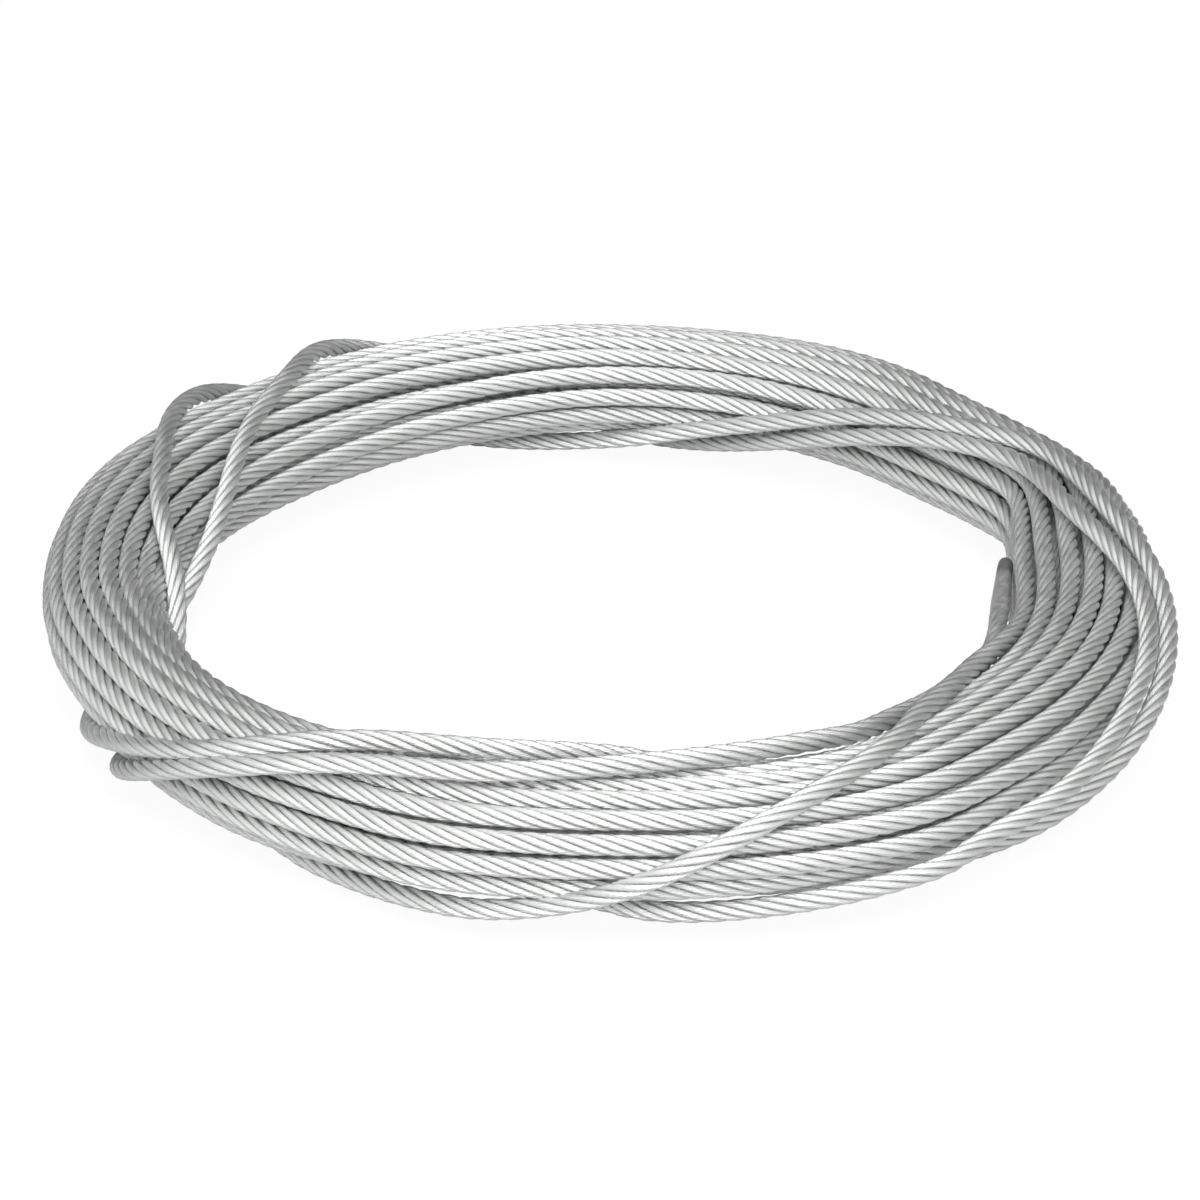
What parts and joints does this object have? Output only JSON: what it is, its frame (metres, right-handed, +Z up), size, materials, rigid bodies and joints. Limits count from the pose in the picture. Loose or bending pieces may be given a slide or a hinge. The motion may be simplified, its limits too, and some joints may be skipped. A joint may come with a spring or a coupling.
{
  "type": "wire rope sling",
  "caption": "Loose flat coil of right-hand lay steel wire rope for lifting slings, bound by its own last turns, with one fused bare end.",
  "frame": {"origin": "centre of the coil's outline on the surface that it lies on", "axes": "+Z up, along the coil's axis; -Y towards the front, where an earlier turn crosses the top; the free end is on the inside at +X and points to +Y"},
  "size_m": [0.3396, 0.346, 0.0478],
  "materials": {
    "rope_steel": "bright drawn wire, satin, darker in the grooves between strands",
    "strand_steel": "bright drawn wire, satin",
    "core_steel": "drawn wire, dull",
    "fused_steel": "fused and ground, dull grey"
  },
  "bodies": {
    "root": {"coil_main_turns": "rope_steel", "front_crossing_low": "rope_steel", "front_crossing_high": "rope_steel", "right_binding_1": "rope_steel", "back_underpass_1": "rope_steel", "left_binding_1": "rope_steel", "left_underpass_1": "rope_steel", "front_binding_1": "rope_steel", "front_underpass": "rope_steel", "right_binding_2": "rope_steel", "back_underpass_2": "rope_steel", "left_binding_2": "rope_steel", "left_underpass_2": "rope_steel", "front_binding_2": "rope_steel", "tail": "rope_steel", "core_strand": "core_steel", "outer_strand_1": "strand_steel", "outer_strand_2": "strand_steel", "outer_strand_3": "strand_steel", "outer_strand_4": "strand_steel", "outer_strand_5": "strand_steel", "outer_strand_6": "strand_steel", "fused_tip": "fused_steel"}
  },
  "joints": []
}
